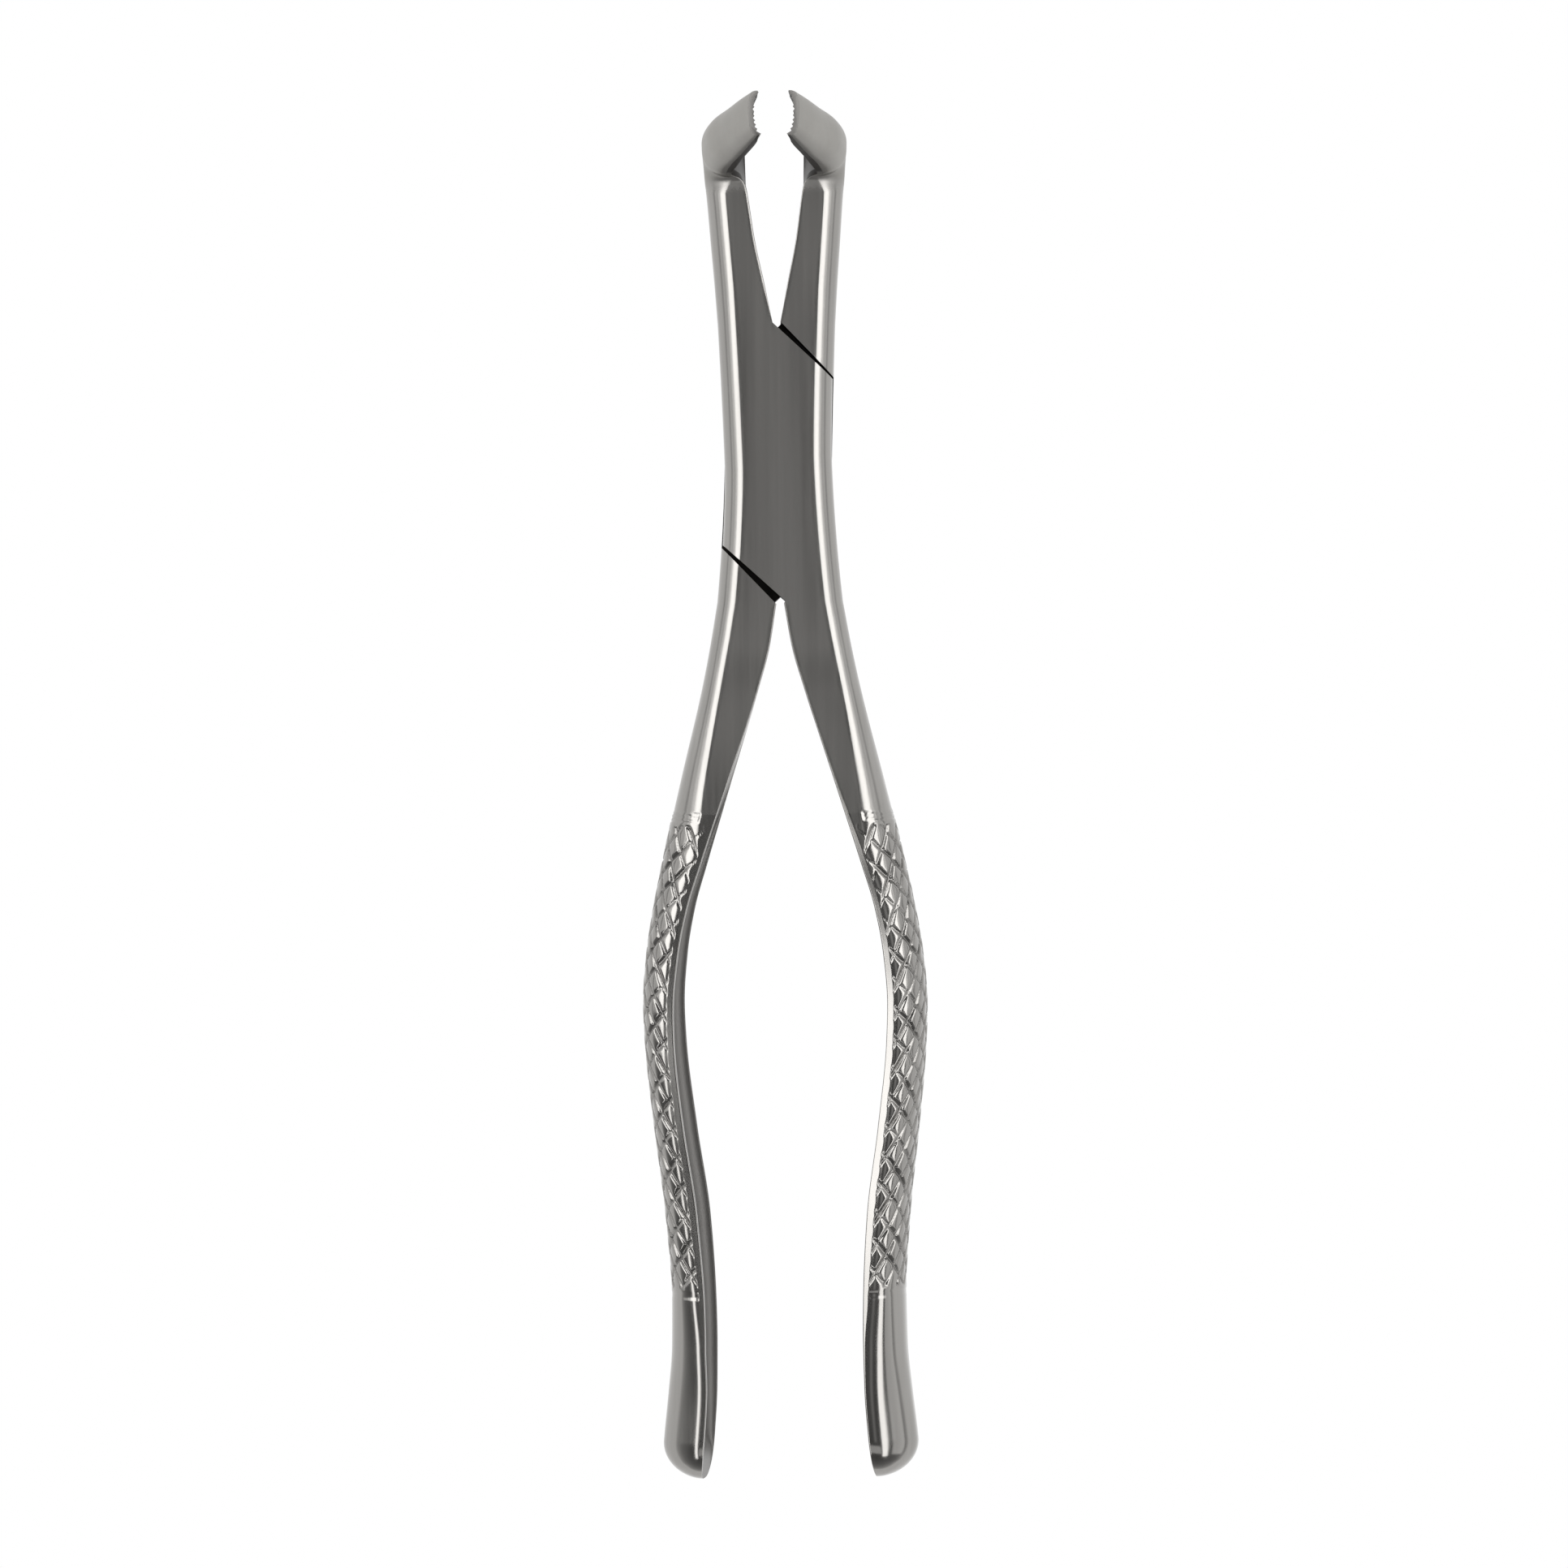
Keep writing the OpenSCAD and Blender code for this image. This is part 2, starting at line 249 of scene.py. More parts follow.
class Half:
    """Sizes of one half in millimetres, and its cross-sections along the jaw and along the handle."""

    def __init__(self, sizes):
        for name in sizes.__annotations__:
            if name != "rest_opening":
                setattr(self, name, getattr(sizes, name) / MM)
        self.open = sizes.rest_opening / 2
        w = self.joint_width / 2
        c, j, front, b = self.crotch, self.jaw_length, self.joint_thickness, self.handle_bow / 15.7
        bend = front + 1.4
        up = self.beak_height - bend
        tip = self.tip_gap / 2
        # step, tilt, front edge y and z, depth, outer, front inner, back inner, round out and across, scoop, land
        self.jaw_row = smooth_rows([
            (0, 0, c, front, front, w + 0.15, 0, 0, 2.3, 3, 0, 1.2),
            (1, 0, c + 0.3 * (j - c), front, front, w + 0.35, 0.85, 0.85, 2.4, 3, 0, 1.2),
            (2, 0, c + 0.6 * (j - c), front, front, w + 0.6, 1.75, 1.75, 2.4, 3, 0, 1.2),
            (2.75, 0, c + 0.93 * (j - c), front, front, w + 0.87, 2.4, 2.4, 2.4, 3, 0, 1.2),
            (3, 0, j, front, front, w + 0.95, 2.6, 2.6, 2.9, 3, 0, 1.2),
            (4, 35, j + 0.8, front + 0.25, 0.93 * front, w + 1.1, 3.2, 2.55, 3.5, 3.4, 0.7, 1),
            (5, 70, j + 1.3, bend - 0.5, 0.82 * front, w + 1.2, 4.2, 2.3, 2.8, 3.3, 1.5, 0.8),
            (6, 73, j + 2.2, bend + 0.22 * up, 6.9, w + 0.5, 3.3, 1.9, 2.8, 3.1, 1.8, 0.6),
            (7, 75, j + 3.1, bend + 0.47 * up, 6.5, w - 1.1, 2.3, 1.4, 2.4, 2.9, 1.7, 0.5),
            (8, 78, j + 4, bend + 0.74 * up, 6.1, w - 2.8, 1.2, 0.9, 1.8, 2.7, 1.2, 0.35),
            (9, 80, j + 4.9, self.beak_height, self.tip_width, tip + 0.75 + self.tip_wall, tip, tip,
             1, self.tip_width / 2 - 0.3, 0.75, 0.2)])
        mid, deep = front / 2, self.handle_depth / 2 - RAISED_ACROSS
        # part of the length, outer, inner, half depth, round out, round across, scoop, turn, bevel
        self.handle_row = smooth_rows([
            (0, w + 0.65, 0, mid, 0.331, 0.667, 0, 0, 0),
            (0.05, 8.05 * b, 0.75 * b, mid, 0.33, 0.67, 0, 0, 0),
            (0.1, 9 * b, 2.1 * b, 0.8 * mid + 0.2 * deep, 0.36, 0.7, 0, 0, 0),
            (0.2, 11.35 * b, 5.1 * b, 0.4 * mid + 0.6 * deep, 0.55, 0.8, 0.15, 2, 0.15),
            (0.3, 13.65 * b, 8.1 * b, deep, 0.9, 0.92, 0.85, 4, 0.6),
            (0.35, 14.7 * b, 9.5 * b, deep, 1, 0.94, 1, 5, 0.6),
            (0.4, 15.4 * b, 10.3 * b, deep, 1, 0.94, 1, 6, 0.68),
            (0.45, 15.7 * b, 10.6 * b, deep, 1, 0.94, 1, 7, 0.72),
            (0.5, 15.4 * b, 10.3 * b, deep, 1, 0.94, 1, 8, 0.75),
            (0.6, 14.05 * b, 8.8 * b, deep, 1, 0.94, 1, 9, 0.8),
            (0.7, 12.5 * b, 7 * b, deep, 1, 0.94, 1, 9, 0.85),
            (0.8, 11.55 * b, 6.1 * b, deep, 1, 0.94, 1, 8, 0.5),
            (0.85, 11.5 * b, 5.9 * b, deep, 1, 0.94, 1, 8, 0.12),
            (0.9, 11.85 * b, 5.85 * b, deep, 1, 0.94, 0.95, 7, 0.05),
            (0.95, 12.3 * b, 6.05 * b, deep, 1, 0.94, 0.75, 7, 0.05),
            (0.98, 12.5 * b, 6.3 * b, deep, 1, 0.94, 0.1, 7, 0.05),
            (1, 12.6 * b, 6.6 * b, deep, 1, 0.94, 0, 7, 0.05)])

    def outer_at(self, y):
        """Half width of the joint at y."""
        return self.joint_width / 2 + (0.15 if y > 0 else 0.65) * (abs(y) / self.crotch) ** 2

    def joint_ring(self, y, side):
        """The full width of the joint, laid out so that a jaw follows it on one side and a handle on the other."""
        # each plate's free side stands out a little, so that it is flush with the other half at rest
        free = 1.9 * y * y / (abs(y) + 2) * math.sin(self.open)
        jaw_side, across = outer_side(self.outer_at(y) + (free if y < 0 else 0), 0.4, self.joint_thickness, 2.3, 3)
        handle_side = outer_side(self.outer_at(y) + (free if y > 0 else 0), 0.4, self.joint_thickness, 2.3, 3)[0]
        out = np.concatenate([side * jaw_side, -side * handle_side[::-1]])
        across = np.concatenate([across, across[::-1]])
        return np.column_stack([out, np.full(RING, y), self.joint_thickness - across])

    def jaw_ring(self, step, side):
        """A section at a step of the jaw's rows, and how much painted shade each of its points gets."""
        tilt, y, z, depth, outer, front_in, back_in, ro, ra, scoop, land = self.jaw_row(step)
        edge = self.edge_break * min(1, 0.1 + step) * (1 if side < 0 else 0.6)
        bevel = (0.12 if side < 0 else 0.02) * min(1, step)
        out, across = section(outer, front_in, back_in, depth, ro, ra, scoop, land, edge, bevel, 0.18)
        # fine teeth across the inner face of the tip
        teeth = ease((step - 8.2) / 0.5) * 0.24
        inside = np.arange(RING) >= SIDE
        wave = np.abs((across / self.tooth_pitch) % 1 - 0.5) * 2
        out = out + np.where(inside & (out < outer - ro + 0.2), teeth * wave, 0)
        lean = math.radians(tilt)
        # painted shade on the inner faces in the throat between the beaks, weaker at the tips
        reach = np.maximum(ease((step - 3.1) / 0.7), ease((step - 2.95) / 0.3) * ease((across - 1.2) / 1.5))
        dark = np.where(inside, reach * (0.4 + 0.6 * ease((8.9 - step) / 0.5)), 0.0)
        dark[:SIDE + FLAT] = 0
        # painted shade on the beak's lower edge beside the throat and down its lower flank, and where the beak rises
        # from the flat
        under = ease((step - 4.6) / 0.8)
        dark[RING - FLAT:] = under
        dark[:FLAT] = under
        shade = np.linspace(1, 0, ARC)
        flank = np.maximum(0.6 * ease(shade * 4 - 3), 0.24 * ease(shade * 2.2 - 0.8))
        dark[FLAT:FLAT + ARC] = under * flank
        base = 0.4 * ease((step - 3.2) / 0.6) * ease((5.2 - step) / 1.2)
        dark[:FLAT + ARC] = np.maximum(dark[:FLAT + ARC], base * np.concatenate([np.ones(FLAT), shade]))
        return np.column_stack([side * out, y + across * math.sin(lean), z - across * math.cos(lean)]), dark

    def handle_ring(self, f, side, knurled=False):
        """A section at a part f of the handle's length, and how much painted shade each of its points gets."""
        outer, inner, half, ro, ra, scoop, turn, bevel = self.handle_row(f)
        d = self.crotch + f * (self.handle_length - self.crotch)
        outer -= RAISED_OUT * ease((f - 0.1) / 0.2)
        # the rounded end: k falls from 1 to almost 0
        e = min(max((d - self.handle_length + self.end_round) / self.end_round, 0), 0.9995)
        k = math.sqrt(1 - e * e)
        turn = math.radians(turn)
        base = inner + half * math.sin(turn)
        wide = (outer - inner - half * math.sin(turn)) / math.cos(turn) * k
        half = half * k ** 0.6
        bevel = bevel * k
        edge = self.edge_break * k
        flat = 0.3 * k
        round_out = min((wide - flat) * ro, wide - bevel - edge * 1.5 - flat)
        crease = CREASE * (1 - 0.8 * ease((f - 0.15) / 0.2))
        out, across = section(wide, 0, 0, 2 * half, round_out, half * ra, self.hollow * scoop * k,
                              self.rim * 0.5 * k, edge, bevel, 0.12 if side > 0 else 0.0, crease)
        dark = np.zeros(RING)
        # painted shade over the hollow on the handle's inner side
        dark[SIDE + FLAT + CORNER:RING - FLAT - CORNER] = 0.62 * ease((f - 0.16) / 0.1)
        # the knurl adds painted shade in its grooves
        if knurled:
            out, across, grooves = self.knurl(out, across, d, bevel)
            dark = np.maximum(grooves, dark)
        turned = side * turn
        q = half - across
        places = np.column_stack([
            side * (base + out * math.cos(turned) - q * math.sin(turned)),
            np.full(RING, -d),
            self.joint_thickness / 2 + q * math.cos(turned) + out * math.sin(turned)])
        return places, dark

    def knurl(self, out, across, d, bevel):
        """Two families of crossing V grooves, fading out towards the rims and at both ends."""
        n = SIDE
        run = np.concatenate([[0], np.cumsum(np.hypot(np.diff(out[:n]), np.diff(across[:n])))]) + bevel
        total = run[-1] + bevel
        tx, ty = np.gradient(out[:n]), np.gradient(across[:n])
        size = np.hypot(tx, ty)
        nx, ny = ty / size, -tx / size
        along = d + 0.07 * np.sin(d * 1.9 + run * 0.8)
        pitch = self.knurl_pitch
        part = (d - KNURL_TOP) / (KNURL_BOTTOM - KNURL_TOP)
        # a plain border beside each rim, which runs out down the handle
        near = 0.55 * ease(1 - part * 2.2)
        room = np.minimum(run, total - run)
        deep = self.knurl_depth * ease((room - near) / 2.2 + 0.2) * (room > near * 0.8)
        inside = ease((d - KNURL_TOP) / 0.5) * ease((KNURL_BOTTOM - d) / 0.5)
        steep, flat, wall = 1.66, 1.02, 1.15
        cuts, domes = [], []
        for slant in (steep, -flat):
            phase = (along + slant * (run - total / 2)) / pitch
            nearest = np.round(phase)
            gap = np.abs(phase - nearest) * pitch / math.hypot(1, slant)
            centre = nearest * pitch - slant * (run - total / 2)
            ends = ease((centre - KNURL_TOP + 1.2) / 0.6 + 0.5) * ease((KNURL_BOTTOM - centre) / 0.8 + 0.5)
            uneven = 0.85 + 0.3 * np.sin(nearest * 2.4 + 0.9 * run + slant)
            cuts.append(np.clip(deep * ends * uneven - gap * wall, 0, None) * inside)
            domes.append((1 - 2 * gap * math.hypot(1, slant) / pitch) ** 2 * ends * inside * deep / self.knurl_depth)
        dome = 0.02 + 0.06 * ease((room - 1.8) / 2)
        cut = np.maximum(cuts[0], cuts[1]) + dome * np.maximum(domes[0], domes[1])
        # uneven bars in the band where the die's edge pressed in
        band = ease((d - DIE_BAND[0]) / 0.15) * ease((DIE_BAND[1] - d) / 0.15) * ease((room - 1.6) / 0.3)
        bars = 0.5 + 0.5 * np.sin(d * 13 + 1.5 * np.sin(run * 2.3)) * (0.7 + 0.3 * np.sin(run * 11))
        press = 0.1 * band * (0.4 + 1.1 * bars)
        # metal pushed up where the knurl starts, and a faint line below its end
        swell = 0.14 * ease((d - 42.9) / 0.5) * ease((56 - d) / 11) * ease((room - 1.2) / 3)
        line = 0.04 * ease((d - 101.9) / 0.1) * ease((102.9 - d) / 0.4)
        shift = cut + press + line - swell
        out, across = out.copy(), across.copy()
        out[:n] -= nx * shift
        across[:n] -= ny * shift
        # painted shade in the knurl's grooves, darker where they cut deeper
        dark = np.zeros(RING)
        dark[:n] = 0.35 * cut / self.knurl_depth
        return out, across, dark


def loft(rings, marks):
    """A tube through the rings: a grid's rows are laid on them and its two long sides welded. The marks say how
    much painted shade each point gets."""
    rings, marks = np.array(rings), np.array(marks)
    count, n = rings.shape[:2]
    bm = bmesh.new()
    # this vertex attribute carries the painted shade
    layer = bm.verts.layers.float.new("painted_shade")
    bmesh.ops.create_grid(bm, x_segments=n, y_segments=count - 1, size=1)
    places = np.concatenate([rings, rings[:, :1]], axis=1).reshape(-1, 3)
    values = np.concatenate([marks, marks[:, :1]], axis=1).reshape(-1)
    for vert, place, mark in zip(bm.verts, places, values):
        vert.co = place
        vert[layer] = mark
    bmesh.ops.remove_doubles(bm, verts=bm.verts, dist=1e-4)
    bmesh.ops.dissolve_degenerate(bm, edges=bm.edges, dist=1e-5)
    bmesh.ops.holes_fill(bm, edges=[e for e in bm.edges if e.is_boundary], sides=0)
    bmesh.ops.recalc_face_normals(bm, faces=bm.faces)
    return bm


def open_end(bm, y):
    """Takes out the faces that close an end at y."""
    flat = [f for f in bm.faces if all(abs(v.co.y - y) < 1e-3 for v in f.verts)]
    bmesh.ops.delete(bm, geom=flat, context="FACES")


def mesh_object(bm, name):
    """A new object in the scene that holds the shape; the shape is freed."""
    mesh = bpy.data.meshes.new(name)
    bm.to_mesh(mesh)
    bm.free()
    piece = bpy.data.objects.new(name, mesh)
    bpy.context.scene.collection.objects.link(piece)
    return piece


def prism(corners, low, high):
    """A straight-sided block over a flat outline."""
    bm = bmesh.new()
    face = bm.faces.new([bm.verts.new((x, y, low)) for x, y in corners])
    top = bmesh.ops.extrude_face_region(bm, geom=[face])["geom"]
    bmesh.ops.translate(bm, vec=(0, 0, high - low), verts=[g for g in top if isinstance(g, bmesh.types.BMVert)])
    bmesh.ops.recalc_face_normals(bm, faces=bm.faces)
    return bm


def rod(radius, low, high):
    """An upright cylinder on the pivot's axis."""
    bm = bmesh.new()
    bmesh.ops.create_cone(bm, cap_ends=True, segments=ROUND_SIDES, radius1=radius, radius2=radius, depth=high - low,
                          matrix=Matrix.Translation((0, 0, (low + high) / 2)))
    return bm


def cut_away(piece, cutters):
    """Takes the cutters' shapes out of the piece."""
    for bm in cutters:
        tool = mesh_object(bm, "cutter")
        change = piece.modifiers.new("cut", "BOOLEAN")
        change.operation, change.object, change.solver = "DIFFERENCE", tool, "EXACT"
        done = bpy.data.meshes.new_from_object(piece.evaluated_get(bpy.context.evaluated_depsgraph_get()))
        piece.modifiers.clear()
        old, piece.data = piece.data, done
        bpy.data.meshes.remove(old)
        bpy.data.objects.remove(tool)
    return piece


def lap_cutters(half, side):
    """What is taken out of one half at the joint: two corners of the other half's plate, a band over the whole
    of that plate, and the screw's holes."""
    c, thick, mid = half.crotch, half.joint_thickness, half.joint_thickness / 2
    low, high = (mid, thick + 1) if side < 0 else (-1, mid)
    s = -side
    corner = [(0, c), (s * 14, c - 14), (s * 14, c + 4), (s * 4, c + 4)]
    turned = [(-x, -y) for x, y in corner]
    turned[0] = (s * 0.2, 0.2 - c)
    low_r, high_r = (-1, mid + LAP_GAP) if side < 0 else (mid - LAP_GAP, thick + 1)
    reach = (c + SHOULDER_GAP) * math.sqrt(2) / 2
    band = [(-30, -reach), (30, -reach), (30, reach), (-30, reach)]
    spin = math.radians(45) * -side
    band = [(x * math.cos(spin) - y * math.sin(spin), x * math.sin(spin) + y * math.cos(spin)) for x, y in band]
    cutters = [prism(corner, low, high), prism(turned, low, high), prism(band, low_r, high_r)]
    if side < 0:
        return cutters + [rod(THREAD_RADIUS + THREAD_GAP, mid - 1, thick - HOLE_COVER)]
    return cutters + [rod(half.shank_diameter / 2 + BEARING_GAP, -1, thick),
                      rod(half.head_diameter / 2 + HEAD_GAP, -1, COUNTERBORE)]


def smooth_shading(bm):
    """Smooth faces with sharp edges left where the surface turns by more than SHARP."""
    for edge in bm.edges:
        edge.smooth = len(edge.link_faces) == 2 and edge.calc_face_angle(0) < SHARP
    for face in bm.faces:
        face.smooth = True


def lower_handle(half, side):
    """The knurled part of a handle, down to its rounded end, open where it meets the upper part."""
    c, end = half.crotch, half.handle_length
    last = end - half.end_round
    distances = np.concatenate([np.arange(WELD_AT, KNURL_RINGS_END, KNURL_STEP), np.arange(104.0, last, 0.6),
                                last + half.end_round * np.sin(np.linspace(0, math.pi / 2 * 0.985, 30))])
    rings, marks = zip(*[half.handle_ring((d - c) / (end - c), -side, knurled=True) for d in distances])
    bm = loft([ring[::-1] for ring in rings], [mark[::-1] for mark in marks])
    open_end(bm, -WELD_AT)
    return bm


def in_lap(face, half):
    """Whether a face lies on the lap's middle plane or on a wall of its slanting seams."""
    c, mid = half.crotch, half.joint_thickness / 2
    x, y, z = face.calc_center_median()
    nx, ny, nz = face.normal
    if abs(y) > c + 0.3:
        return False
    if abs(nz) > 0.9:
        return abs(z - mid) < 0.1
    return abs(abs(nx) - abs(ny)) < 0.05 and min(abs(abs(x + y) - c), abs(abs(x - y) - c)) < 0.4


def build_half(half, side, name):
    """side -1: left jaw and right handle, the front plate; side 1: right jaw and left handle, the rear plate."""
    c, mid = half.crotch, half.joint_thickness / 2
    steps = np.concatenate([np.linspace(0, 3, 16), np.linspace(3, 5, 19)[1:], np.linspace(5, 9, 37)[1:]])
    rings, marks = [list(part) for part in zip(*[half.jaw_ring(step, side) for step in steps[::-1]])]
    rings += [half.joint_ring(y, side) for y in np.linspace(c, -c, JOINT_RINGS)]
    marks += [np.zeros(RING)] * JOINT_RINGS
    weld_part = (WELD_AT - c) / (half.handle_length - c)
    for f in np.linspace(0, weld_part, HANDLE_RINGS):
        ring, mark = half.handle_ring(f, -side)
        rings.append(ring[::-1])
        marks.append(mark[::-1])
    piece = cut_away(mesh_object(loft(rings, marks), name), lap_cutters(half, side))

    bm = bmesh.new()
    bm.from_mesh(piece.data)
    bmesh.ops.remove_doubles(bm, verts=bm.verts, dist=0.0005)
    bmesh.ops.dissolve_degenerate(bm, edges=bm.edges, dist=0.0003)
    bmesh.ops.holes_fill(bm, edges=[e for e in bm.edges if e.is_boundary], sides=0)
    open_end(bm, -WELD_AT)
    smooth_shading(bm)
    lower = lower_handle(half, side)
    handle_mesh = bpy.data.meshes.new("lower")
    lower.to_mesh(handle_mesh)
    lower.free()
    bm.from_mesh(handle_mesh)
    bpy.data.meshes.remove(handle_mesh)
    bmesh.ops.remove_doubles(bm, verts=[v for v in bm.verts if abs(v.co.y + WELD_AT) < 0.01], dist=0.004)

    # the beak is blasted from just past its bend; a flat with many corners is a cut face of the joint; faces on the
    # lap's middle plane and on its seam walls get a painted shadow
    for face in bm.faces:
        face.smooth = True
        y = face.calc_center_median().y
        if y > half.jaw_length + 0.9 and len(face.verts) < 9:
            face.material_index = BLASTED
        elif in_lap(face, half):
            face.material_index = SEAM_SHADOW
        elif y < -BUFFED_FROM:
            face.material_index = BUFFED
        else:
            face.material_index = GROUND
    # the ground faces are crowned: they fall away a little towards the joint's edges
    for vert in bm.verts:
        x, y, z = vert.co
        if abs(y) < CROWN_END and abs(z - mid) < mid + 0.6:
            near = ease((abs(z - mid) / mid - 0.5) / 0.5) * ease((CROWN_END - abs(y)) / CROWN_FADE)
            vert.co.z -= math.copysign(CROWN * min(abs(x) / CROWN_HALF, 1) ** 2 * near, z - mid)
    bmesh.ops.rotate(bm, cent=(0, 0, 0), matrix=Matrix.Rotation(-side * half.open, 3, "Z"), verts=bm.verts)
    bmesh.ops.scale(bm, vec=(MM, MM, MM), verts=bm.verts)
    bm.to_mesh(piece.data)
    bm.free()
    piece.data.update()
    return piece


# ---- materials ----

# the order of the materials on each half: three steels, then the painted shadow for the lap's seams
GROUND, BLASTED, BUFFED, SEAM_SHADOW = range(4)


def node(tree, kind, inputs=None, **settings):
    """Adds a node with its settings; inputs are values, or sockets to link from."""
    made = tree.nodes.new(kind)
    for name, value in settings.items():
        setattr(made, name, value)
    for key, value in (inputs or {}).items():
        if isinstance(value, bpy.types.NodeSocket):
            tree.links.new(value, made.inputs[key])
        else:
            made.inputs[key].default_value = value
    return made


def steel(name, colour, rough, rough_spread, grain_mm, stretch, bump, shade=(0.95, 1.04), painted_shade=None,
          cloud_mm=0.91, matt=None):
    """Stainless steel: a metal whose roughness and faint relief follow the way it was worked.
    grain_mm is the grain's width and stretch how many times longer it is along y; cloud_mm is the size of the
    soft patches; the colour given for painted shade is mixed in where the painted-shade attribute is 1; matt is
    where along y the surface starts and ends turning rougher, and how rough it gets."""
    material = bpy.data.materials.get(name)
    if material:
        return material
    material = bpy.data.materials.new(name)
    material.use_nodes = True
    tree = material.node_tree
    tree.nodes.clear()
    place = node(tree, "ShaderNodeTexCoord").outputs["Object"]
    drawn = node(tree, "ShaderNodeMapping", {"Vector": place, "Scale": (1.0, 1 / stretch, 1.0)}).outputs["Vector"]
    streaks = node(tree, "ShaderNodeTexNoise", {"Vector": drawn, "Scale": 1 / (grain_mm * MM), "Detail": 2.0,
                                                "Roughness": 0.6}).outputs["Fac"]
    longer = node(tree, "ShaderNodeMapping", {"Vector": place, "Scale": (1.0, 0.5 / stretch, 1.0)})
    cloud = node(tree, "ShaderNodeTexNoise", {"Vector": longer.outputs["Vector"], "Scale": 1 / (cloud_mm * MM),
                                              "Detail": 3.0}).outputs["Fac"]
    both = node(tree, "ShaderNodeMath", {0: streaks, 1: cloud}, operation="ADD").outputs[0]
    level = node(tree, "ShaderNodeMapRange", {"Value": both, "From Min": 0.7, "From Max": 1.3,
                                              "To Min": rough - rough_spread, "To Max": rough + rough_spread})
    if matt:
        along = node(tree, "ShaderNodeSeparateXYZ", {"Vector": place}).outputs["Y"]
        level = node(tree, "ShaderNodeMapRange", {"Value": along, "From Min": matt[0], "From Max": matt[1],
                                                  "To Min": level.outputs["Result"], "To Max": matt[2]})
    tone = node(tree, "ShaderNodeMapRange", {"Value": cloud, "From Min": 0.3, "From Max": 0.7,
                                              "To Min": shade[0], "To Max": shade[1]})
    # inputs 6 and 7 and output 2 are the mix node's colour sockets
    tint = node(tree, "ShaderNodeMix", {"Factor": 1.0}, data_type="RGBA", blend_type="MULTIPLY")
    tint.inputs[6].default_value = (*colour, 1)
    tree.links.new(tone.outputs["Result"], tint.inputs[7])
    colour_out, bare = tint.outputs[2], 1.0
    if painted_shade:
        # painted shade: the colour is mixed towards the shade colour as far as the attribute reaches
        depth = node(tree, "ShaderNodeAttribute", attribute_name="painted_shade").outputs["Fac"]
        dark = node(tree, "ShaderNodeMix", {"Factor": depth}, data_type="RGBA")
        tree.links.new(colour_out, dark.inputs[6])
        dark.inputs[7].default_value = (*painted_shade, 1)
        colour_out = dark.outputs[2]
        # where the painted shade lies, the surface is also rougher, and hardly metallic
        level = node(tree, "ShaderNodeMapRange", {"Value": depth, "From Min": 0.3, "From Max": 0.75,
                                                  "To Min": level.outputs["Result"], "To Max": 0.48})
        bare = node(tree, "ShaderNodeMapRange", {"Value": depth, "From Min": 0.35, "From Max": 0.75,
                                                 "To Min": 1.0, "To Max": 0.2}).outputs["Result"]
    relief = node(tree, "ShaderNodeBump", {"Height": streaks, "Strength": bump, "Distance": 0.02 * MM})
    shader = node(tree, "ShaderNodeBsdfPrincipled", {"Base Color": colour_out, "Metallic": bare,
                                                     "Roughness": level.outputs["Result"],
                                                     "Normal": relief.outputs["Normal"]})
    node(tree, "ShaderNodeOutputMaterial", {"Surface": shader.outputs["BSDF"]})
    return material


def steels(finish, beak):
    # surface-ground stainless: streaks along the instrument, satin reflections that turn matt at the beaks, painted
    # shade where the beaks rise; the real scratches are about 0.02 mm wide and are drawn 0.38 mm wide to show
    ground = steel("ground_stainless", finish.ground, 0.21, 0.03, 0.3846, 1 / 0.03, 0.05, (0.94, 1.05),
                   finish.painted_shade, matt=(beak - 1.2 * MM, beak + 0.8 * MM, 0.42))
    # bead-blasted stainless: even matt grey, with painted shade on the beaks' lower flanks and in the throat; the
    # beads' pits are about 0.05 mm and are drawn 0.2 mm to show
    blasted = steel("bead_blasted_stainless", finish.blasted, 0.42, 0.04, 0.2, 1.0, 0.3, (0.93, 1.04),
                    finish.painted_shade, cloud_mm=2.38)
    # buffed stainless: bright with soft waves of about 0.7 mm, dull and with painted shade at the bottom of the
    # grooves and in the hollow
    buffed = steel("buffed_stainless", finish.buffed, 0.15, 0.02, 0.6667, 1 / 0.06, 0.06, (0.95, 1.04),
                   finish.painted_shade)
    # painted shadow on the lap's inner faces, down in the seams: dark and matt, with a mottle of 0.3 mm
    seam_shadow = steel("painted_seam_shadow", finish.painted_shade, 0.55, 0.04, 0.3333, 1.0, 0.2)
    return ground, blasted, buffed, seam_shadow


# ---- operators ----

class FORCEPS_OT_halves(bpy.types.Operator):
    """Build the two forged halves with their beaks, lap joint and knurled handles"""
    bl_idname = "forceps.halves"
    bl_label = "Forged Halves"

    def execute(self, context):
        half = Half(context.scene.forceps_sizes)
        materials = steels(context.scene.forceps_finish, context.scene.forceps_sizes.jaw_length)
        for side, body in ((-1, "front"), (1, "rear")):
            piece = build_half(half, side, body + "_forging")
            for material in materials:
                piece.data.materials.append(material)
            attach(piece, body)
            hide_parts(body + "_half")
        return {"FINISHED"}


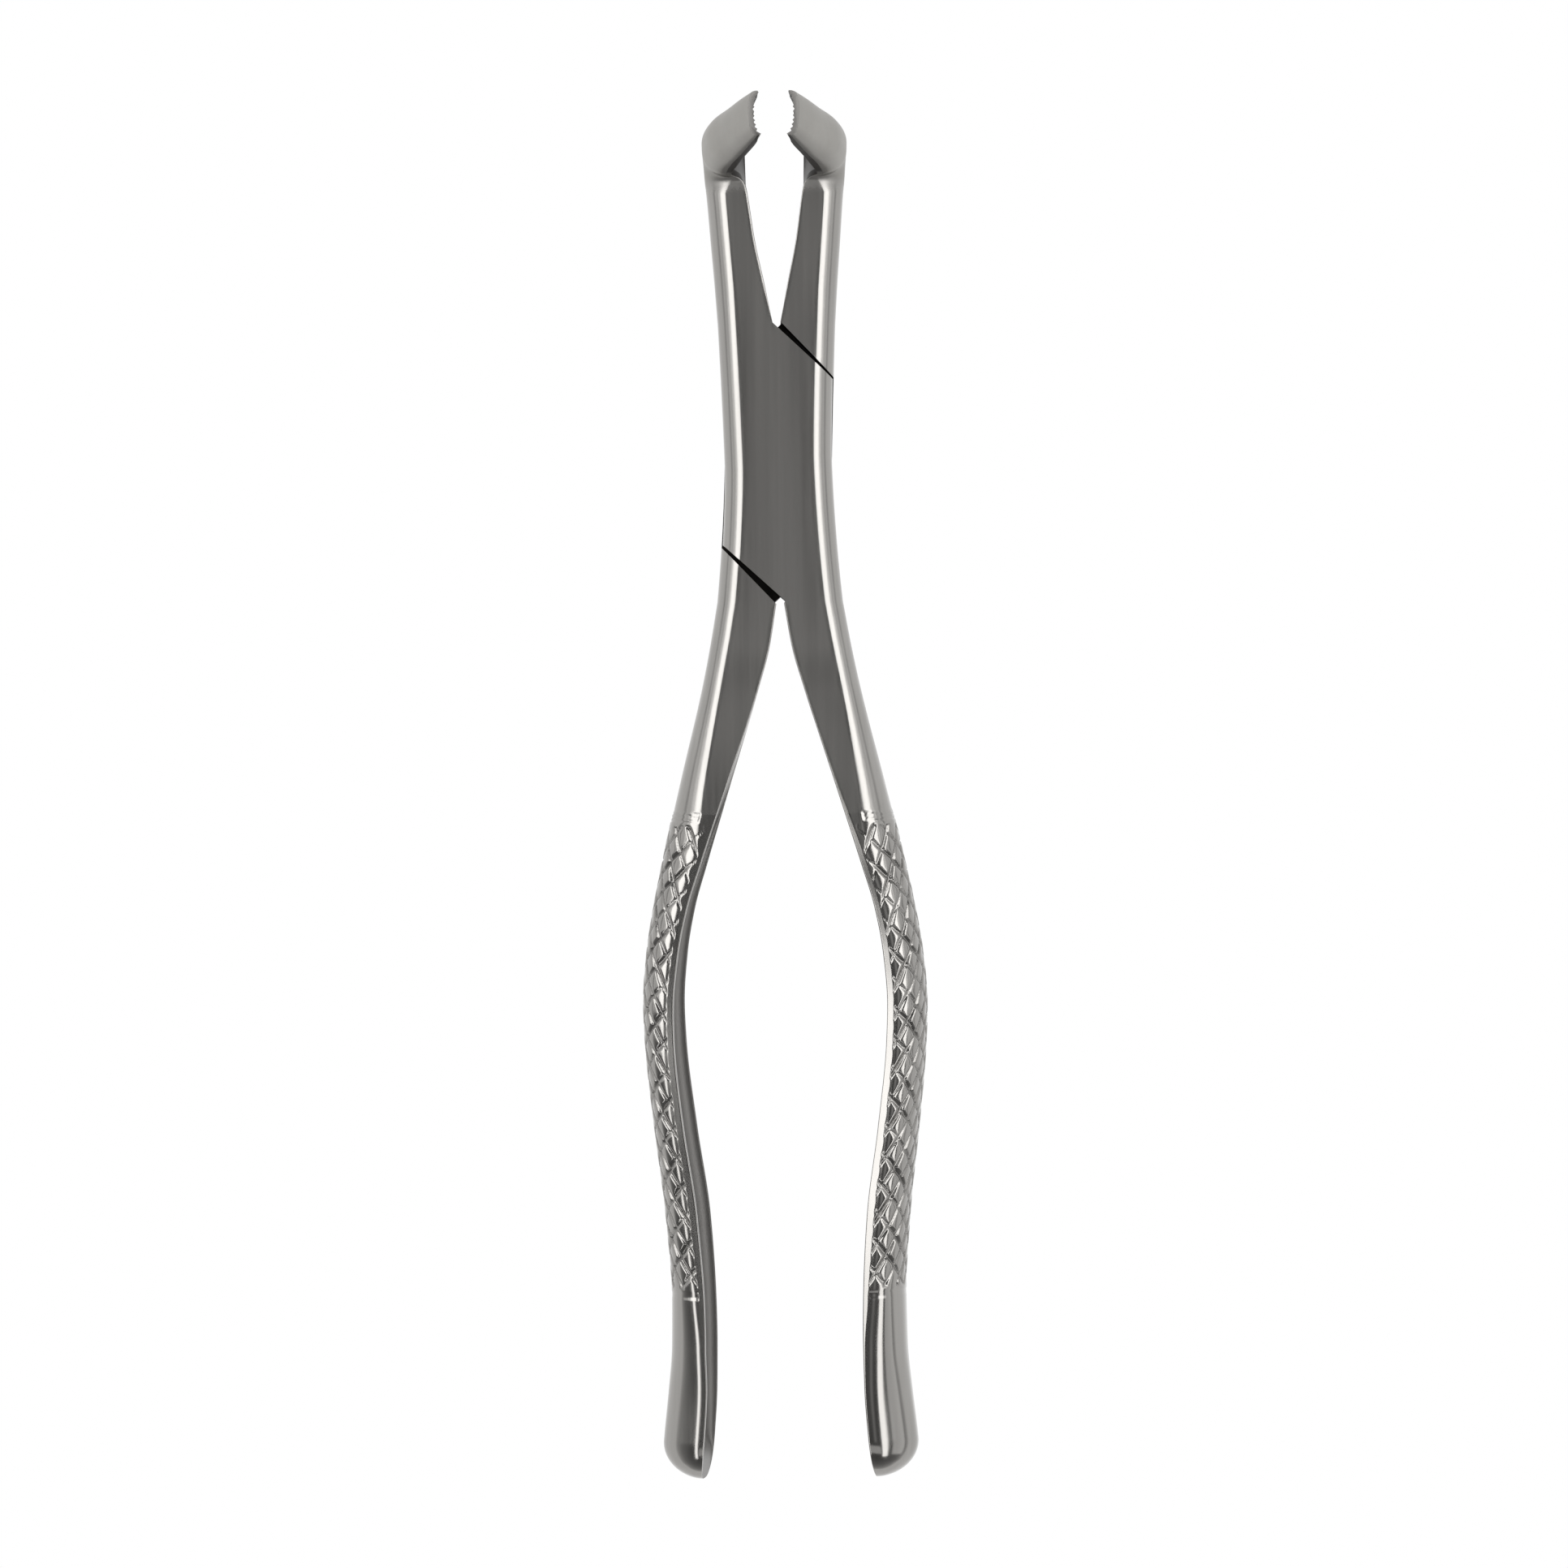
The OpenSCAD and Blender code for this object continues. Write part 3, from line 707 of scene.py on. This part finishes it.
class FORCEPS_OT_screw(bpy.types.Operator):
    """Build the slotted pivot screw in the joint's back face"""
    bl_idname = "forceps.screw"
    bl_label = "Pivot Screw"

    def execute(self, context):
        half = Half(context.scene.forceps_sizes)
        finish = context.scene.forceps_finish
        head, shank = half.head_diameter / 2, half.shank_diameter / 2
        under_head = COUNTERBORE - 0.02
        shoulder = half.joint_thickness / 2 + LAP_GAP
        end = half.joint_thickness - HOLE_COVER - SCREW_SHORT
        bm = bmesh.new()
        outline = [(0.0, 0.22), (1.2, 0.2), (head - 0.35, 0.15), (head, 0.45), (head, under_head),
                   (shank, under_head), (shank, shoulder), (THREAD_RADIUS, shoulder), (THREAD_RADIUS, end),
                   (0.0, end)]
        points = [bm.verts.new((x, 0, z)) for x, z in outline]
        edges = [bm.edges.new(pair) for pair in zip(points, points[1:])]
        bmesh.ops.spin(bm, geom=points + edges, cent=(0, 0, 0), axis=(0, 0, 1), dvec=(0, 0, 0),
                       angle=math.tau, steps=ROUND_SIDES, use_merge=True)
        bmesh.ops.remove_doubles(bm, verts=bm.verts, dist=1e-4)
        bmesh.ops.recalc_face_normals(bm, faces=bm.faces)
        piece = mesh_object(bm, "slotted_screw")
        w = half.slot_width / 2
        cut_away(piece, [prism([(-6, -w), (6, -w), (6, w), (-6, w)], -1, SLOT_FLOOR)])
        bm = bmesh.new()
        bm.from_mesh(piece.data)
        smooth_shading(bm)
        bmesh.ops.scale(bm, vec=(MM, MM, MM), verts=bm.verts)
        bm.to_mesh(piece.data)
        bm.free()
        # turned stainless: bright and a little uneven; the tool marks of 0.05 mm are drawn as 0.4 mm grain to show
        piece.data.materials.append(steel("turned_stainless", finish.turned, 0.24, 0.05, 0.4, 1.0, 0.2))
        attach(piece, "front")
        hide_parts("pivot_screw")
        return {"FINISHED"}


def soft_box(name, place, size, glow, power, aimed=True):
    """A rectangular light that faces the pivot, or straight down; glow is its brightness beside the main boxes'."""
    light = bpy.data.lights.new(name, "AREA")
    light.shape = "RECTANGLE"
    light.size, light.size_y = size
    light.energy = power * glow * size[0] * size[1]
    box = bpy.data.objects.new(name, light)
    bpy.context.scene.collection.objects.link(box)
    box.location = place
    if aimed:
        x, y, z = place
        box.rotation_euler = (0, math.atan2(x, z), 0) if x else (math.atan2(-y, z), 0, 0)
    box.visible_camera = False


class FORCEPS_OT_studio(bpy.types.Operator):
    """Set up the pale floor, the soft lights and the camera"""
    bl_idname = "forceps.studio"
    bl_label = "Studio"

    def execute(self, context):
        scene = context.scene
        studio, sizes, finish = scene.forceps_studio, scene.forceps_sizes, scene.forceps_finish
        bm = bmesh.new()
        bmesh.ops.create_grid(bm, x_segments=1, y_segments=1, size=FLOOR_SIZE,
                              matrix=Matrix.Translation((0, 0, FLOOR_Z)))
        floor = mesh_object(bm, "floor")
        white = bpy.data.materials.new("lit_white_sweep")
        white.use_nodes = True
        tree = white.node_tree
        tree.nodes.clear()
        glow = node(tree, "ShaderNodeEmission", {"Color": (*finish.floor, 1), "Strength": 1.0})
        node(tree, "ShaderNodeOutputMaterial", {"Surface": glow.outputs["Emission"]})
        floor.data.materials.append(white)

        world = scene.world or bpy.data.worlds.new("studio")
        scene.world = world
        world.use_nodes = True
        tree = world.node_tree
        tree.nodes.clear()
        toward = node(tree, "ShaderNodeTexCoord").outputs["Generated"]
        height = node(tree, "ShaderNodeSeparateXYZ", {"Vector": toward}).outputs["Z"]
        ramp = node(tree, "ShaderNodeValToRGB", {"Fac": height})
        while len(ramp.color_ramp.elements) < len(SKY):
            ramp.color_ramp.elements.new(0.5)
        for element, (spot, grey) in zip(ramp.color_ramp.elements, SKY):
            element.position = spot
            element.color = (grey, grey, grey, 1)
        sky = node(tree, "ShaderNodeBackground", {"Color": ramp.outputs["Color"], "Strength": 1.0})
        node(tree, "ShaderNodeOutputWorld", {"Surface": sky.outputs["Background"]})

        h, power = studio.box_height, studio.box_power
        # name, angles from overhead that the box fills, side, reach along y, brightness: a main box and a dim one
        # outside it over the joint and the jaws, and a narrower strip over the handles
        rows = (("soft_box_right", 19, 42, 1, -0.11, 0.7, 1.0),
                ("fade_right", 42, 53, 1, -0.11, 0.7, 0.3),
                ("strip_right", 23, 40, 1, -0.6, -0.11, 0.85),
                ("soft_box_left", 19, 42, -1, -0.11, 0.7, 1.0),
                ("fade_left", 42, 53, -1, -0.11, 0.7, 0.3),
                ("strip_left", 25, 34, -1, -0.6, -0.11, 0.9))
        for name, near, far, sign, low, high, glow in rows:
            near, far = h * math.tan(math.radians(near)), h * math.tan(math.radians(far))
            middle = (sign * (near + far) / 2, (low + high) / 2, h)
            soft_box(name, middle, (far - near, high - low), glow, power, aimed=False)
        soft_box("panel_right", (0.85, 0.05, 0.42), (0.5, 1.3), 0.24, power)
        soft_box("panel_left", (-0.85, 0.3, 0.42), (0.5, 0.8), 0.24, power)
        soft_box("soft_box_low", (0, -0.36, h), (0.4, 0.2), 0.2, power)
        soft_box("soft_box_high", (0, 0.3, h), (0.4, 0.2), 0.2, power)

        camera = bpy.data.cameras.new("camera")
        camera.sensor_width = SENSOR
        camera.lens = CAMERA_DISTANCE * SENSOR / studio.view_width
        camera.clip_start, camera.clip_end = 0.01, 10
        eye = bpy.data.objects.new("camera", camera)
        scene.collection.objects.link(eye)
        across, up = AIM
        lean = -studio.lean
        eye.location = (across * math.cos(lean) - up * math.sin(lean),
                        across * math.sin(lean) + up * math.cos(lean),
                        sizes.joint_thickness / 2 + CAMERA_DISTANCE)
        eye.rotation_euler = (0, 0, lean)
        scene.camera = eye
        scene.view_settings.view_transform = "Standard"
        return {"FINISHED"}


class FORCEPS_PT_build(bpy.types.Panel):
    """Lists the sizes, the finishes and the building steps"""
    bl_idname = "FORCEPS_PT_build"
    bl_label = "Extraction Forceps"
    bl_space_type = "VIEW_3D"
    bl_region_type = "UI"
    bl_category = "Forceps"

    def draw(self, context):
        layout = self.layout
        for group in (context.scene.forceps_sizes, context.scene.forceps_finish, context.scene.forceps_studio):
            box = layout.box()
            for name in group.__annotations__:
                box.prop(group, name)
        for operator in (FORCEPS_OT_halves, FORCEPS_OT_screw, FORCEPS_OT_studio):
            layout.operator(operator.bl_idname)


CLASSES = (ForcepsSizes, ForcepsFinish, ForcepsStudio,
           FORCEPS_OT_halves, FORCEPS_OT_screw, FORCEPS_OT_studio, FORCEPS_PT_build)
GROUPS = {"forceps_sizes": ForcepsSizes, "forceps_finish": ForcepsFinish, "forceps_studio": ForcepsStudio}


def register():
    for item in CLASSES:
        bpy.utils.register_class(item)
    for name, group in GROUPS.items():
        setattr(bpy.types.Scene, name, PointerProperty(type=group))


def unregister():
    for name in GROUPS:
        delattr(bpy.types.Scene, name)
    for item in reversed(CLASSES):
        bpy.utils.unregister_class(item)


def main():
    register()
    bpy.ops.forceps.halves()
    bpy.ops.forceps.screw()
    bpy.ops.forceps.studio()
    bpy.context.view_layer.update()


if __name__ == "__main__":
    main()
